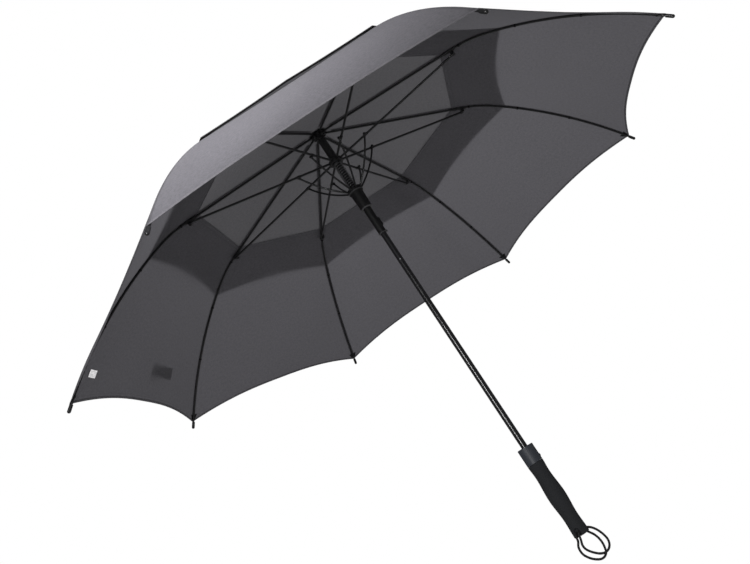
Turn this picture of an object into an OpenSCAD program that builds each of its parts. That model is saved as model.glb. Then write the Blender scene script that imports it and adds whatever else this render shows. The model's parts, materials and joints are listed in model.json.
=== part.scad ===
// Automatic golf umbrella, open, with a double vented canopy on eight ribs.
// The shaft stands along Z with the canopy up; the origin is the middle of the grip.

/* [Canopy] */
// Distance from the shaft's axis to the cloth's corners at the rib ends
rim_radius = 665; // [640:1:690]
// Height of the rib hinges above the cloth's corners
rim_drop = 314; // [295:1:330]
// How far the hem is drawn in between two ribs
hem_scallop = 28; // [10:1:45]
// Distance from the axis to the inner hem of the lower cloth, along a rib
lower_cloth_start = 313; // [290:1:325]
// Distance from the axis to the hem of the upper vent cloth, along a rib
vent_cloth_end = 434; // [420:1:450]
// How far the vent cloth's hem is drawn in between two ribs
vent_scallop = 16; // [8:1:24]
// How far the vent cloth's hem stands off the lower cloth between two ribs
vent_lift = 4; // [3:0.5:8]
// Thickness of each cloth
cloth_t = 0.8; // [0.6:0.1:1.2]
// Distance from the hem to the middle of the closing strap, along the rib
strap_above_hem = 97; // [70:1:130]
// Length of the closing strap
strap_length = 98; // [80:1:110]
// Width of the closing strap
strap_width = 26; // [18:1:32]
// Distance from the hem to the middle of the blank sewn tag, along the rib
tag_above_hem = 60; // [45:1:70]
// Width of the blank sewn tag
tag_width = 20; // [14:1:26]
// Length of the blank sewn tag
tag_length = 15; // [10:1:20]

/* [Ribs] */
// Distance from the axis to the start of the bend, just beyond the stretcher's pivot
joint_radius = 345; // [335:1:355]
// Height of the rib hinges above the start of the bend
joint_drop = 75; // [70:1:80]
// Diameter of a rib
rib_d = 4.6; // [4:0.1:5]
// Radius of the bend beyond the joint
rib_bend_radius = 240; // [200:5:300]
// Angle of the bend beyond the joint
rib_bend_angle = 16; // [12:0.5:20]
// Diameter of the cap on a rib's end
tip_d = 6.6; // [6:0.1:8]
// Length of the cap on a rib's end, beyond the cloth
tip_length = 16; // [12:0.5:22]
// Length of the socket that carries a stretcher
socket_length = 26; // [20:1:36]
// Distance from a rib's axis to the stretcher's pivot
pivot_drop = 7; // [6:0.5:9]

/* [Stretchers and links] */
// Diameter of a stretcher
stretcher_d = 4.8; // [4.4:0.1:5.2]
// Diameter of a link
link_d = 4; // [3.8:0.1:4.4]
// Distance from a stretcher's inner hinge to its link
link_reach = 77; // [65:1:90]
// How far a link bows away from its straight line
link_bow = 6; // [3:0.5:9]

/* [Runners] */
// Height of the rib hinges above the upper runner's hinges
upper_runner_drop = 76; // [72:1:84]
// Height of the rib hinges above the lower runner's hinges
lower_runner_drop = 157; // [150:1:165]
// Radius of the hinge ring in the notch
notch_ring_radius = 12; // [11.5:0.1:13]
// Radius of the hinge ring in the upper runner
upper_ring_radius = 13; // [12.5:0.1:14]
// Radius of the hinge ring in the lower runner
lower_ring_radius = 14; // [13.8:0.1:15]
// Diameter of the hinge rings' wire
ring_wire_d = 1.2; // [1:0.1:1.4]
// Thickness of the flat eyes that turn on the rings
eye_t = 2.2; // [1.8:0.1:2.4]
// Length of the upper runner's sleeve above its flange
upper_sleeve_length = 56; // [20:1:56]
// Length of the bell below the lower runner's hinges
bell_length = 49; // [44:1:56]
// Length of the neck below the bell
neck_length = 65.7; // [58:0.1:75]
// How far the neck seats in the collar when the umbrella is closed
seat_depth = 9.5; // [8.5:0.5:10]
// Diameter of the neck
neck_d = 17.2; // [16.8:0.1:18]

/* [Opening spring] */
// Mean diameter of the spring's coils
spring_mean_d = 17; // [16.9:0.1:17.2]
// Diameter of the spring's wire
spring_wire_d = 2.4; // [2:0.1:2.4]
// Number of coils
spring_coils = 21; // [16:1:24]

/* [Shaft] */
// Outer diameter of the shaft
shaft_d = 12.7; // [12.2:0.1:12.8]
// Wall of the shaft
shaft_wall = 1; // [0.8:0.1:1.5]
// Length of the ferrule above the rib hinges
ferrule_length = 70; // [50:1:90]
// Distance from the rib hinges down to the pin in the shaft
shaft_pin_drop = 340; // [320:1:360]
// Diameter of the pin in the shaft
shaft_pin_d = 3; // [2:0.1:4]

/* [Handle] */
// Length of the foam grip
grip_length = 145; // [135:1:160]
// Diameter of the grip at its upper end
grip_top_d = 31.8; // [31:0.1:34]
// Distance from the grip's upper end to its upper waist
grip_upper_waist_at = 23; // [16:1:32]
// Diameter of the grip's upper waist
grip_upper_waist_d = 29.2; // [28:0.1:31]
// Distance from the grip's upper end to its swell
grip_swell_at = 68; // [55:1:80]
// Diameter of the grip's swell
grip_swell_d = 34; // [31:0.1:38]
// Distance from the grip's upper end to its lower waist
grip_lower_waist_at = 112; // [95:1:120]
// Diameter of the grip's lower waist
grip_lower_waist_d = 28.4; // [27.5:0.1:31]
// Diameter of the grip at its lower end
grip_end_d = 30.4; // [29:0.1:33]
// Diameter of the collar
collar_d = 32; // [31.6:0.1:34]
// Length of the collar
collar_length = 33.4; // [33:0.1:38]
// Diameter of the handle's core inside the foam
core_d = 22; // [20:0.1:23]
// Diameter of the push button
button_d = 8.4; // [7:0.1:9]
// How far the push button travels
button_travel = 1.7; // [1.4:0.1:1.8]
// How far the push button stands out of the collar
button_proud = 1.2; // [1.1:0.1:2.5]
// Width of the slots for the wrist cord
cord_slot_width = 10.6; // [10.4:0.1:11.4]
// Height of the slots for the wrist cord
cord_slot_height = 15; // [12:0.5:18]
// Diameter of the wrist cord
cord_d = 4.2; // [3:0.1:4.2]

/* [Hidden] */
rib_count = 8;
rib_step = 360 / rib_count;
half_step = rib_step / 2;

// Clearances between pieces that fit, run or only lie near each other
fit_gap = 0.1;
run_gap = 0.3;
body_gap = 0.4;

// Circles
$fn = 64;

// Colours
black_plastic = [0.07, 0.07, 0.08];
black_metal = [0.10, 0.10, 0.11];
bright_metal = [0.72, 0.72, 0.74];
grey_cloth = [0.30, 0.29, 0.31];
grey_vent_cloth = [0.36, 0.35, 0.37];
foam_black = [0.10, 0.10, 0.11];
collar_grey = [0.20, 0.21, 0.23];
white_tag = [0.92, 0.92, 0.90];

function along(a) = [cos(a), -sin(a)];
function across(a) = [sin(a), cos(a)];

// The rib's line in the plane of the rib, as distance from the axis and height over the hinges:
// a straight inner stretch, a short bend past the joint and a long shallow arc to the rim
hinge_point = [notch_ring_radius, 0];
joint_point = [joint_radius, -joint_drop];
rim_point = [rim_radius, -rim_drop];
inner_angle = atan2(joint_drop, joint_radius - notch_ring_radius);
inner_length = norm(joint_point - hinge_point);
bend_angle_end = inner_angle + rib_bend_angle;
bend_centre = joint_point - rib_bend_radius * across(inner_angle);
bend_point = bend_centre + rib_bend_radius * across(bend_angle_end);
bend_length = rib_bend_radius * rib_bend_angle * PI / 180;
outer_chord = rim_point - bend_point;
outer_chord_angle = atan2(-outer_chord.y, outer_chord.x);
outer_radius = norm(outer_chord) / (2 * sin(outer_chord_angle - bend_angle_end));
outer_centre = bend_point - outer_radius * across(bend_angle_end);
rim_angle = 2 * outer_chord_angle - bend_angle_end;
outer_length = outer_radius * (rim_angle - bend_angle_end) * PI / 180;
rib_length = inner_length + bend_length + outer_length;

// The rod tapers towards the rim: each stretch is a little thinner than the one it starts in
rib_taper = 0.2;
rib_lap = 1;
rib_end_d = rib_d - 3 * rib_taper;

function rib_angle_at(s) =
    s < inner_length ? inner_angle
    : s < inner_length + bend_length ? inner_angle + (s - inner_length) / rib_bend_radius * 180 / PI
    : bend_angle_end + (s - inner_length - bend_length) / outer_radius * 180 / PI;
function rib_at(s, rise) =
    s < inner_length ? hinge_point + s * along(inner_angle) + rise * across(inner_angle)
    : s < inner_length + bend_length ? bend_centre + (rib_bend_radius + rise) * across(rib_angle_at(s))
    : outer_centre + (outer_radius + rise) * across(rib_angle_at(s));

// Length along the rib at which it reaches a distance from the axis, by halving
function rib_reach(r, low = 0, high = rib_length, n = 24) =
    n == 0 ? low
    : rib_at((low + high) / 2, 0).x < r ? rib_reach(r, (low + high) / 2, high, n - 1)
    : rib_reach(r, low, (low + high) / 2, n - 1);

// Heights of the cloths over a rib's axis
lower_cloth_rise = rib_d / 2 + body_gap;
vent_cloth_rise = lower_cloth_rise + cloth_t + body_gap + 0.2;
lower_start_s = rib_reach(lower_cloth_start);
vent_end_s = rib_reach(vent_cloth_end);

// The notch and what sits over it
eye_r = 2.6;
slot_w = eye_t + 0.7;
rib_blade_h = 4;
rib_rod_inset = 4.5;
stretcher_rod_inset = 2;
stretcher_blade_h = 3.4;
link_blade_h = 3;
blade_lap = 6;
pin_head_h = 0.8;
notch_r = notch_ring_radius + 3.5;
notch_below = 6;
notch_above = 3;
vent_start_s = notch_r - notch_ring_radius + 2.5;
cap_gap_rise = rib_at(vent_start_s, vent_cloth_rise + cloth_t).y;
ferrule_base = max(cap_gap_rise, notch_above) + body_gap;

// Stretcher pivot on the rib's socket, beside the rib
socket_d = rib_d + 2.2;
pivot_s = inner_length - socket_length / 3;
pivot_point = rib_at(pivot_s, -pivot_drop);
pivot_side = socket_d / 2 + body_gap + stretcher_d / 2;
pivot_eye_r = 3.4;
pivot_pin_r = 2.2;

// Runner hinges
upper_z = -upper_runner_drop;
lower_z = -lower_runner_drop;
upper_hinge = [upper_ring_radius, 0, upper_z];
stretcher_line = [pivot_point.x, pivot_side, pivot_point.y] - upper_hinge;
stretcher_length = norm(stretcher_line);
stretcher_dir = stretcher_line / stretcher_length;
clip_r = stretcher_d / 2 + 0.7;
clip_length = 8;
link_eye_t = link_d + 0.2;
link_eye_r = link_d / 2 + 1;
link_pin_r = 1.8;
link_point = upper_hinge + link_reach * stretcher_dir;
link_side = link_point.y - clip_r - body_gap - link_eye_t / 2;
link_hinge = [lower_ring_radius, 0, lower_z];
link_line = [link_point.x, link_side, link_point.z] - link_hinge;
link_length = norm(link_line);
link_arc_r = (link_length * link_length / 4 + link_bow * link_bow) / (2 * link_bow);
link_half_angle = asin(link_length / 2 / link_arc_r);

// Runners
shaft_r = shaft_d / 2;
runner_bore_r = shaft_r + run_gap;
flange_below = 5;
flange_above = 4.2;
upper_flange_r = upper_ring_radius + 3.6;
upper_sleeve_wall = 2.6;
lower_flange_r = lower_ring_radius + 2.8;
bell_top_r = lower_flange_r - 2.6;
bell_taper = 1.4;
bell_floor_t = 5;
bell_bottom_z = lower_z - bell_length;
cup_r = spring_mean_d / 2 + spring_wire_d / 2 + 0.6;
neck_r = neck_d / 2;
neck_rim_r = neck_r + 0.4;
neck_rim_h = 3;
swell_r = 4.5;
swell_length = 14;
swell_rise = 20;
lug_w = 4.4;
lug_h = 3.5;
lug_r = neck_r + 2.2;

// Opening spring, from the floor of the bell to the underside of the upper runner
spring_low = bell_bottom_z + bell_floor_t + fit_gap + spring_wire_d / 2;
spring_high = upper_z - flange_below - fit_gap - spring_wire_d / 2;
spring_pitch = (spring_high - spring_low) / spring_coils;
spring_rings = 8;
spring_sides = 6;

// Closed umbrella: the ribs folded down, the stretchers up along the shaft, both runners at the handle
fold_angle = 63.5;
function folded(p) = hinge_point + [
    (p - hinge_point).x * cos(fold_angle) + (p - hinge_point).y * sin(fold_angle),
    (p - hinge_point).y * cos(fold_angle) - (p - hinge_point).x * sin(fold_angle)
];
function foot_below(p, reach, r) = [r, p.y - sqrt(reach * reach - (p.x - r) * (p.x - r))];
stretcher_flat = norm(pivot_point - [upper_ring_radius, upper_z]);
closed_pivot = folded(pivot_point);
closed_upper = foot_below(closed_pivot, stretcher_flat, upper_ring_radius);
closed_clip = closed_upper + (closed_pivot - closed_upper) * link_reach / stretcher_length;
link_flat = norm([link_line.x, link_line.z]);
closed_lower = foot_below(closed_clip, link_flat, lower_ring_radius);
upper_travel = upper_z - closed_upper.y;
lower_travel = lower_z - closed_lower.y;

// Handle
grip_half = grip_length / 2;
collar_base = grip_half + fit_gap;
collar_top = collar_base + collar_length;
collar_r = collar_d / 2;
core_r = core_d / 2;
slot_roof = -grip_half + cord_slot_height;
core_end = slot_roof;
shaft_end = core_end + 8;
shaft_seat_r = shaft_r + fit_gap;
mouth_r = neck_rim_r + body_gap;
mouth_depth = seat_depth + 2;

// The shaft is as long as the folding frame needs: when the lower runner has made its whole travel,
// the end of its neck is at the collar's seat
neck_bottom_z = bell_bottom_z - neck_length;
hinge_height = collar_top - seat_depth + lower_travel - neck_bottom_z;
plug_length = 11;
plug_shank = 5;
cord_hole_drop = 7;

// Catch in the collar, behind the button; its claw hangs just over the closed lug
lever_t = 1.4;
lever_w = 4;
lever_inner = lug_r + body_gap;
lever_outer = lever_inner + lever_t;
lever_pin_r = 1;
claw_reach = 1.6;
claw_t = 2.6;
pocket_floor = collar_base + 2.5;
lever_low = pocket_floor + body_gap;
lever_high = collar_top - seat_depth + lug_h + body_gap + claw_t;
lever_pivot_z = pocket_floor + 17;
pocket_w = lever_w + 2 * body_gap;
pocket_inner = lever_inner - 2.9;
pocket_outer = lever_outer + 2.2;
button_z = collar_base + 8;
button_r = button_d / 2;
button_nose_r = 1.5;
button_nose_h = 0.6;
button_flange_r = button_r + 0.9;
button_flange_t = 0.7;
button_inner = lever_outer + body_gap + 0.1;
button_flange_inner = button_inner + button_nose_h;
leaf_t = 0.5;
leaf_h = 9;

// Routes of the wrist cord's two loops
cord_a_route = [
    [6.3, -10.2, -64.5], [9.3, -13.2, -65], [11.5, -17, -68], [12.5, -19.5, -76.5], [9, -23, -84],
    [6.5, -23.5, -92], [4, -21, -100.5], [3.5, -15, -109.5], [3.5, -7, -117], [4, 2, -122],
    [4.5, 10, -122.5], [4, 17.5, -118.5], [2, 21.5, -111], [-0.5, 24, -102.5], [-4, 24.5, -93.5],
    [-8, 23, -85], [-11.5, 19.5, -78], [-14, 16, -71.5], [-14.5, 12.5, -67], [-13, 9, -65],
    [-10.2, 6.3, -64.5]
];
cord_b_route = [
    [10.2, -6.3, -64.5], [13.2, -9.3, -65], [16, -12.5, -68], [16.5, -15, -76.5], [14, -17, -85],
    [12.5, -15.5, -93], [11.5, -10.5, -100.5], [10.5, -3.5, -107.5], [9.5, 4.5, -113.5], [9.5, 14, -117],
    [9, 23.5, -115.5], [7.5, 30.5, -110], [5, 34, -102.5], [1, 34.5, -94], [-3, 33, -85.5],
    [-6.5, 30, -78], [-9, 25, -71.5], [-10.5, 19, -67.5], [-9, 13, -65], [-6.3, 10.2, -64.5]
];
cord_spacing = norm(cord_a_route[0] - cord_b_route[0]);

// Azimuths of the catch, the cord's slots and the pin in the shaft
catch_azimuth = 90;
cord_azimuth = -45;
shaft_pin_azimuth = -22.5;

// Where the strap and the tag are sewn: rib number, angle from that rib, place along the rib
strap_rib = 6;
strap_angle = 17.4;
strap_s = rib_length - strap_above_hem;
tag_rib = 7;
tag_angle = -2.8;
tag_s = rib_length - tag_above_hem;
patch_t = 0.8;

// Helpers

module at_rib(k) {
    translate([0, 0, hinge_height])
        rotate([0, 0, (k - 1) * rib_step])
            children();
}

module at_each_rib() {
    for (k = [1:rib_count])
        rotate([0, 0, (k - 1) * rib_step])
            children();
}

// A bar along X from the hinge, turned down by an angle, in the plane of a rib
module in_rib_plane(point, angle) {
    translate([point.x, 0, point.y])
        rotate([0, angle, 0])
            children();
}

// A round bar bent about a centre in the plane of a rib, between two slopes;
// it starts a little early, inside the thicker stretch before it
module bent_bar(centre, radius, from_angle, to_angle, d) {
    lap_angle = rib_lap / radius * 180 / PI;
    translate([centre.x, 0, centre.y])
        rotate([90, 0, 0])
            rotate([0, 0, 90 - to_angle])
                rotate_extrude(angle = to_angle - from_angle + lap_angle)
                    translate([radius, 0])
                        circle(d = d);
}

// Turns X onto a direction in space
module pointing(from, dir) {
    translate(from)
        rotate([0, -asin(dir.z), atan2(dir.y, dir.x)])
            children();
}

module ring_wire(radius, gap = 0) {
    rotate_extrude()
        translate([radius, 0])
            circle(r = ring_wire_d / 2 + gap, $fn = 24);
}

// Flat eye on a hinge ring with the start of a blade along X
module hinge_eye(blade_length, blade_h) {
    difference() {
        union() {
            rotate([90, 0, 0])
                cylinder(r = eye_r, h = eye_t, center = true);
            translate([0, -eye_t / 2, -blade_h / 2])
                cube([blade_length, eye_t, blade_h]);
        }
        rotate([90, 0, 0])
            cylinder(r = ring_wire_d / 2 + run_gap, h = 2 * eye_t, center = true);
    }
}

// Radial slots for the eyes, open at the outside
module eye_slots(ring_radius, low, high) {
    at_each_rib()
        translate([ring_radius - eye_r - body_gap, -slot_w / 2, low])
            cube([4 * eye_r + 10, slot_w, high - low]);
}

// Closed tube of a few sides along a route
function route_dir(p, i) =
    let (a = p[max(i - 1, 0)], b = p[min(i + 1, len(p) - 1)])
    (b - a) / norm(b - a);
function ring_points(c, dir, r, sides, hint) =
    let (u = cross(hint, dir) / norm(cross(hint, dir)), v = cross(dir, u))
    [for (j = [0:sides - 1]) c + r * (cos(360 * j / sides) * u + sin(360 * j / sides) * v)];
function tube_faces(rings, sides) = concat(
    [for (i = [0:rings - 2], j = [0:sides - 1])
        let (a = i * sides + j, b = i * sides + (j + 1) % sides)
        [a, a + sides, b]],
    [for (i = [0:rings - 2], j = [0:sides - 1])
        let (a = i * sides + j, b = i * sides + (j + 1) % sides)
        [b, a + sides, b + sides]],
    [for (j = [1:sides - 2]) [0, j, j + 1]],
    [for (j = [1:sides - 2])
        let (o = (rings - 1) * sides)
        [o, o + j + 1, o + j]]
);

module cord_tube(route, hint) {
    sides = 8;
    points = [for (i = [0:len(route) - 1])
        each ring_points(route[i], route_dir(route, i), cord_d / 2, sides, hint)];
    polyhedron(points = points, faces = tube_faces(len(route), sides));
}

// Cloth: a point over the rib's line, swung round to a panel that is straight from rib to rib
function panel_point(s, v, rise) =
    let (p = rib_at(s, rise),
         turn = v * (half_step - body_gap / 2 / p.x * 180 / PI),
         r = p.x * cos(half_step) / cos(half_step - abs(turn)))
    [r * cos(turn), r * sin(turn), p.y];

function sheet_faces(n_u, n_v) =
    let (w = n_v + 1, top = (n_u + 1) * w)
    concat(
        [for (i = [0:n_u - 1], j = [0:n_v - 1]) [i * w + j, i * w + j + 1, (i + 1) * w + j]],
        [for (i = [0:n_u - 1], j = [0:n_v - 1]) [i * w + j + 1, (i + 1) * w + j + 1, (i + 1) * w + j]],
        [for (i = [0:n_u - 1], j = [0:n_v - 1])
            [top + i * w + j, top + (i + 1) * w + j, top + i * w + j + 1]],
        [for (i = [0:n_u - 1], j = [0:n_v - 1])
            [top + i * w + j + 1, top + (i + 1) * w + j, top + (i + 1) * w + j + 1]],
        [for (i = [0:n_u - 1]) each [
            [i * w, (i + 1) * w, top + i * w],
            [top + i * w, (i + 1) * w, top + (i + 1) * w],
            [i * w + n_v, top + i * w + n_v, (i + 1) * w + n_v],
            [top + i * w + n_v, top + (i + 1) * w + n_v, (i + 1) * w + n_v]
        ]],
        [for (j = [0:n_v - 1]) each [
            [j, top + j, j + 1],
            [top + j, top + j + 1, j + 1],
            [n_u * w + j, n_u * w + j + 1, top + n_u * w + j],
            [top + n_u * w + j, n_u * w + j + 1, top + n_u * w + j + 1]
        ]]
    );

// Closed sheet between two lines along the ribs; each grid point gives its own rise
module sheet(points_low, points_high, n_u, n_v) {
    polyhedron(points = concat(points_low, points_high), faces = sheet_faces(n_u, n_v));
}

function hem_draw(v) = hem_scallop * (1 - pow(1 - abs(v), 2.7));
function vent_draw(v) = vent_scallop * (1 - pow(1 - abs(v), 1.9));

// Rows of the cloths: few where the rib is straight, close together in its bend
bend_rows = 4;
arc_rows = 7;
vent_bend_rows = 6;
lower_rows = 1 + bend_rows + arc_rows;
vent_rows = 2 + vent_bend_rows;
function lower_row(i, s_end) =
    i == 0 ? lower_start_s
    : i <= 1 + bend_rows ? inner_length + bend_length * (i - 1) / bend_rows
    : inner_length + bend_length + (s_end - inner_length - bend_length) * (i - 1 - bend_rows) / arc_rows;
function vent_row(i, s_end) =
    i <= 2 ? vent_start_s + (inner_length - vent_start_s) * i / 2
    : inner_length + (s_end - inner_length) * (i - 2) / vent_bend_rows;
function lower_points(n_v, rise) = [
    for (i = [0:lower_rows], j = [0:n_v])
        let (v = 2 * j / n_v - 1)
        panel_point(lower_row(i, rib_length - hem_draw(v)), v, rise)
];
function vent_rise(s, v) =
    vent_lift * pow(abs(v), 1.5) * max(0, (s - inner_length / 2) / (vent_end_s - inner_length / 2));
function vent_points(n_v, rise) = [
    for (i = [0:vent_rows], j = [0:n_v])
        let (v = 2 * j / n_v - 1, s = vent_row(i, vent_end_s - vent_draw(v)))
        panel_point(s, v, rise + vent_rise(s, v))
];

// Shaft and what is fixed to it

module shaft_tube() {
    color(black_metal)
        difference() {
            translate([0, 0, shaft_end])
                cylinder(r = shaft_r, h = hinge_height + ferrule_base + 12 - shaft_end);
            translate([0, 0, shaft_end - 1])
                cylinder(r = shaft_r - shaft_wall, h = hinge_height + ferrule_base + 14 - shaft_end);
            rotate([0, 0, shaft_pin_azimuth])
                translate([0, 0, hinge_height - shaft_pin_drop])
                    rotate([0, 90, 0])
                        cylinder(d = shaft_pin_d + 2 * fit_gap, h = shaft_d);
        }
}

module shaft_pin() {
    color(bright_metal)
        rotate([0, 0, shaft_pin_azimuth])
            translate([0, 0, hinge_height - shaft_pin_drop])
                rotate([0, 90, 0])
                    intersection() {
                        cylinder(d = shaft_pin_d, h = shaft_d);
                        rotate([0, 90, 0])
                            difference() {
                                cylinder(r = shaft_r - fit_gap / 2, h = 2 * shaft_pin_d, center = true);
                                cylinder(r = shaft_r - shaft_wall - 1, h = 3 * shaft_pin_d, center = true);
                            }
                    }
}

module ferrule() {
    skirt_r = notch_r + 6;
    skirt_t = 1.8;
    waist_r = shaft_r + 2.2;
    waist_h = 9;
    end_r = 5;
    top = ferrule_length - ferrule_base;
    color(black_plastic)
        translate([0, 0, hinge_height + ferrule_base])
            difference() {
                union() {
                    rotate_extrude()
                        polygon(concat(
                            [[0, 0], [skirt_r, 0], [skirt_r, skirt_t]],
                            [for (a = [0:15:90]) [
                                skirt_r - (skirt_r - waist_r) * sin(a),
                                skirt_t + (waist_h - skirt_t) * (1 - cos(a))
                            ]],
                            [[end_r, waist_h + 12], [end_r, top - end_r], [0, top - end_r]]
                        ));
                    translate([0, 0, top - end_r])
                        sphere(r = end_r);
                }
                translate([0, 0, -1])
                    cylinder(r = shaft_seat_r, h = 13 + fit_gap);
            }
}

module top_notch() {
    color(black_plastic)
        translate([0, 0, hinge_height])
            difference() {
                rotate_extrude()
                    polygon([
                        [shaft_seat_r, -notch_below - 6], [shaft_seat_r + 2, -notch_below - 6],
                        [shaft_seat_r + 2, -notch_below], [notch_r, -notch_below],
                        [notch_r, notch_above - 2.4], [notch_r - 4, notch_above],
                        [shaft_seat_r, notch_above]
                    ]);
                eye_slots(notch_ring_radius, -notch_below - 1, notch_above + 1);
                ring_wire(notch_ring_radius, fit_gap);
            }
}

module notch_ring() {
    color(bright_metal)
        translate([0, 0, hinge_height])
            ring_wire(notch_ring_radius);
}

// Handle

function grip_profile() = [
    [grip_half, grip_top_d / 2],
    [grip_half - grip_upper_waist_at, grip_upper_waist_d / 2],
    [grip_half - grip_swell_at, grip_swell_d / 2],
    [grip_half - grip_lower_waist_at, grip_lower_waist_d / 2],
    [-grip_half + 2, grip_end_d / 2]
];

// Smooth outline through the grip's stations, level at each one
function grip_outline(steps) =
    let (p = grip_profile())
    [for (i = [0:len(p) - 2], j = [0:steps - 1])
        let (w = (1 - cos(180 * j / steps)) / 2)
        [p[i][1] + (p[i + 1][1] - p[i][1]) * w, p[i][0] + (p[i + 1][0] - p[i][0]) * j / steps]];

module foam_grip() {
    edge = 2;
    end_r = grip_end_d / 2;
    color(foam_black)
        difference() {
            rotate_extrude()
                polygon(concat(
                    [[0, grip_half]],
                    grip_outline(6),
                    [for (a = [0:30:90]) [
                        end_r - edge + edge * cos(a),
                        -grip_half + edge - edge * sin(a)
                    ]],
                    [[0, -grip_half]]
                ));
            cylinder(r = core_r + fit_gap, h = 2 * grip_length, center = true);
            cord_slots();
        }
}

module cord_slots() {
    slot_h = cord_slot_height;
    rotate([0, 0, cord_azimuth])
        for (side = [0, 180])
            rotate([0, 0, side])
                translate([0, -cord_slot_width / 2, slot_roof - slot_h - 1])
                    cube([grip_end_d, cord_slot_width, slot_h + 1]);
}

module handle_body() {
    edge = 1;
    color(collar_grey)
        difference() {
            rotate_extrude()
                polygon([
                    [shaft_seat_r, core_end], [core_r, core_end], [core_r, collar_base],
                    [collar_r, collar_base], [collar_r, collar_top - edge],
                    [collar_r - edge, collar_top], [shaft_seat_r, collar_top]
                ]);
            translate([0, 0, collar_top - mouth_depth])
                cylinder(r = mouth_r, h = mouth_depth + 1);
            catch_pocket();
        }
}

// Room for the lever, the leaf behind it and the button's bore
module catch_pocket() {
    flange_bore_low = button_flange_inner - button_travel - run_gap;
    flange_bore_high = button_flange_inner + button_flange_t + run_gap;
    rotate([0, 0, catch_azimuth]) {
        translate([pocket_inner, -pocket_w / 2, pocket_floor])
            cube([pocket_outer - pocket_inner, pocket_w, collar_top - pocket_floor + 1]);
        translate([lever_inner + lever_t / 2, 0, lever_pivot_z])
            rotate([90, 0, 0])
                cylinder(r = lever_pin_r + fit_gap, h = lever_w + 5.4, center = true);
        translate([0, 0, button_z])
            rotate([0, 90, 0]) {
                translate([0, 0, flange_bore_low])
                    cylinder(r = button_flange_r + run_gap, h = flange_bore_high - flange_bore_low);
                translate([0, 0, flange_bore_low])
                    cylinder(r = button_r + run_gap, h = collar_d);
            }
    }
}

module catch_lever() {
    color(black_plastic)
        rotate([0, 0, catch_azimuth]) {
            translate([lever_inner, -lever_w / 2, lever_low])
                cube([lever_t, lever_w, lever_high - lever_low]);
            translate([lever_inner - claw_reach, -lever_w / 2, lever_high - claw_t])
                cube([claw_reach + lever_t, lever_w, claw_t]);
            translate([lever_inner + lever_t / 2, 0, lever_pivot_z])
                rotate([90, 0, 0])
                    cylinder(r = lever_pin_r, h = lever_w + 5, center = true);
        }
}

module push_button() {
    stem_end = collar_r + button_proud;
    crown = 0.8;
    flange_outer = button_flange_inner + button_flange_t;
    color(collar_grey)
        rotate([0, 0, catch_azimuth])
            translate([0, 0, button_z])
                rotate([0, 90, 0])
                    rotate_extrude()
                        polygon([
                            [0, button_inner], [button_nose_r, button_inner],
                            [button_nose_r, button_flange_inner], [button_flange_r, button_flange_inner],
                            [button_flange_r, flange_outer], [button_r, flange_outer],
                            [button_r, stem_end - crown], [button_r - crown, stem_end], [0, stem_end]
                        ]);
}

module button_leaf() {
    color(bright_metal)
        rotate([0, 0, catch_azimuth])
            translate([lever_inner - body_gap - leaf_t, -lever_w / 2, pocket_floor])
                cube([leaf_t, lever_w, leaf_h]);
}

module end_plug() {
    plug_r = core_r - fit_gap;
    plug_top = core_end - fit_gap;
    color(black_plastic)
        difference() {
            union() {
                translate([0, 0, plug_top - plug_length])
                    cylinder(r = plug_r, h = plug_length);
                translate([0, 0, plug_top])
                    cylinder(r = shaft_r - fit_gap, h = plug_shank);
            }
            rotate([0, 0, cord_azimuth])
                translate([0, 0, core_end - cord_hole_drop])
                    for (side = [-1, 1])
                        translate([0, side * cord_spacing / 2, 0])
                            rotate([0, 90, 0])
                                cylinder(d = cord_d + 2 * fit_gap, h = 4 * plug_r, center = true);
        }
}

module wrist_cord_a() {
    color(black_plastic)
        cord_tube(cord_a_route, [0.7, 0.7, 0.1]);
}

module wrist_cord_b() {
    color(black_plastic)
        cord_tube(cord_b_route, [0.7, 0.7, 0.1]);
}

// Runners and spring

module upper_runner() {
    sleeve_r = runner_bore_r + upper_sleeve_wall;
    color(black_plastic)
        translate([0, 0, hinge_height + upper_z])
            difference() {
                rotate_extrude()
                    polygon([
                        [runner_bore_r, -flange_below], [upper_flange_r - 1.5, -flange_below],
                        [upper_flange_r, -flange_below + 1.5], [upper_flange_r, flange_above - 1.5],
                        [upper_flange_r - 1.5, flange_above], [sleeve_r, flange_above],
                        [sleeve_r - 0.6, flange_above + upper_sleeve_length],
                        [runner_bore_r, flange_above + upper_sleeve_length]
                    ]);
                eye_slots(upper_ring_radius, -1 - eye_r, flange_above + 1);
                ring_wire(upper_ring_radius, fit_gap);
            }
}

module upper_ring() {
    color(bright_metal)
        translate([0, 0, hinge_height + upper_z])
            ring_wire(upper_ring_radius);
}

module opening_spring() {
    rings = spring_coils * spring_rings + 1;
    r = spring_mean_d / 2;
    route = [for (i = [0:rings - 1])
        let (a = 360 * i / spring_rings)
        [r * cos(a), r * sin(a), hinge_height + spring_low + spring_pitch * i / spring_rings]];
    points = [for (i = [0:rings - 1])
        each ring_points(route[i], route_dir(route, i), spring_wire_d / 2, spring_sides, [0, 0, 1])];
    coil_gap = min([for (i = [0:rings - 1 - spring_rings], j = [-1:1])
        norm(route[i] - route[min(rings - 1, i + spring_rings + j)])]) - spring_wire_d;
    echo(opening_spring_least_gap = coil_gap);
    echo(upper_travel = upper_travel, lower_travel = lower_travel, hinge_height = hinge_height);
    color(black_metal)
        polyhedron(points = points, faces = tube_faces(rings, spring_sides));
}

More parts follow.
